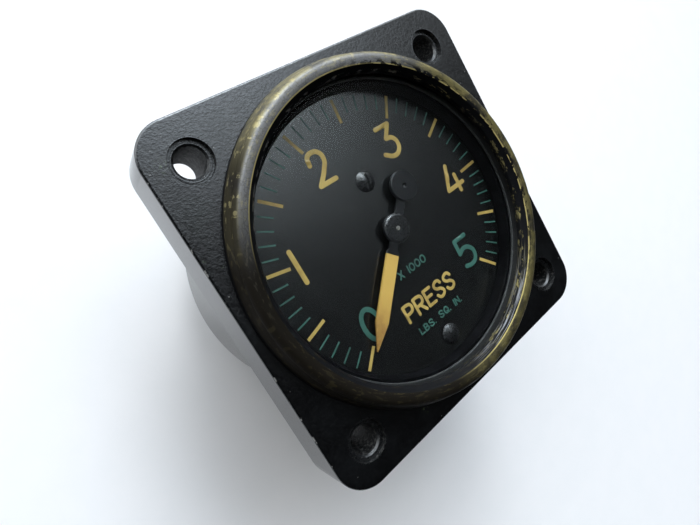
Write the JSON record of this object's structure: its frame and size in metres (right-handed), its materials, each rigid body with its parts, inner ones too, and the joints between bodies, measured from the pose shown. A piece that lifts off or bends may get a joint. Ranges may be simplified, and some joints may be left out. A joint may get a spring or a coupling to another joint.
{
  "type": "aircraft pressure gauge",
  "caption": "Panel pressure gauge with a square flanged case, round dial behind glass in a brass ring, a sweep pointer driven by a Bourdon tube and a threaded rear port.",
  "frame": {"origin": "centre of the four mounting holes, on the rear face of the flange that meets the panel", "axes": "+Z out of the dial towards the reader, +Y towards the top of the dial, +X to its right"},
  "size_m": [0.0604, 0.0604, 0.0451],
  "materials": {
    "phenolic": "moulded black phenolic, satin, slightly worn",
    "bezel_brass": "aged brass with most of its black paint worn off",
    "glass": "clear flat glass with light dust",
    "gasket_rubber": "black rubber",
    "black_paint": "matt black paint",
    "dial_black": "matt black paint",
    "black_screw": "blackened screw",
    "steel_screw": "dull steel",
    "shaft_steel": "turned steel",
    "movement_brass": "brushed brass",
    "socket_brass": "turned brass, dull",
    "spring_bronze": "phosphor bronze",
    "pointer_paint": "aged yellow luminous paint on a black pointer"
  },
  "bodies": {
    "case": {"case": "phenolic", "bezel_ring": "bezel_brass", "glass_lens": "glass", "glass_gasket": "gasket_rubber", "spacer_ring": "black_paint", "dial_plate": "dial_black", "dial_screws": "black_screw", "dial_post_upper": "movement_brass", "dial_post_lower": "movement_brass", "upper_plate": "movement_brass", "lower_plate": "movement_brass", "plate_posts": "movement_brass", "plate_screws": "steel_screw", "movement_screws": "steel_screw", "hairspring": "spring_bronze", "hairspring_stud": "movement_brass", "bourdon_tube": "spring_bronze", "socket": "socket_brass", "socket_gasket": "gasket_rubber", "socket_screws": "steel_screw", "restrictor_screw": "socket_brass", "passage_plug": "socket_brass"},
    "pointer": {"pointer": "pointer_paint", "pointer_hub": "black_paint", "pinion_shaft": "shaft_steel", "hairspring_collet": "movement_brass"},
    "sector": {"sector_gear": "movement_brass", "sector_arbor": "shaft_steel", "sector_pin": "shaft_steel"},
    "link": {"link": "movement_brass"},
    "tube_tip": {"tube_tip": "socket_brass", "tip_pin": "shaft_steel"}
  },
  "joints": [
    {"name": "sector_turn", "type": "hinge", "parent": "case", "child": "sector", "pos_m": [0.01149, -0.00964, -0.004], "axis": [0, 0, 1], "range_deg": [0, 30], "stiffness_Nm_per_rad": 0.002},
    {"name": "pointer_turn", "type": "hinge", "parent": "case", "child": "pointer", "pos_m": [0, 0, 0], "axis": [0, 0, 1], "range_deg": [-270, 0], "deforming": ["hairspring"]},
    {"name": "link_swing", "type": "hinge", "parent": "sector", "child": "link", "pos_m": [0.0168, -0.01107, -0.004], "axis": [0, 0, 1], "range_deg": [-33.57, 0]},
    {"name": "tube_tip_swing", "type": "hinge", "parent": "case", "child": "tube_tip", "pos_m": [-0.0052, 0.00567, -0.012], "axis": [0, 0, 1], "range_deg": [0, 6.39], "deforming": ["bourdon_tube"]}
  ],
  "couplings": [
    {"joint": "pointer_turn", "follows": "sector_turn", "ratio": -9},
    {"joint": "link_swing", "follows": "sector_turn", "ratio": -1.119},
    {"joint": "tube_tip_swing", "follows": "sector_turn", "ratio": 0.213}
  ]
}
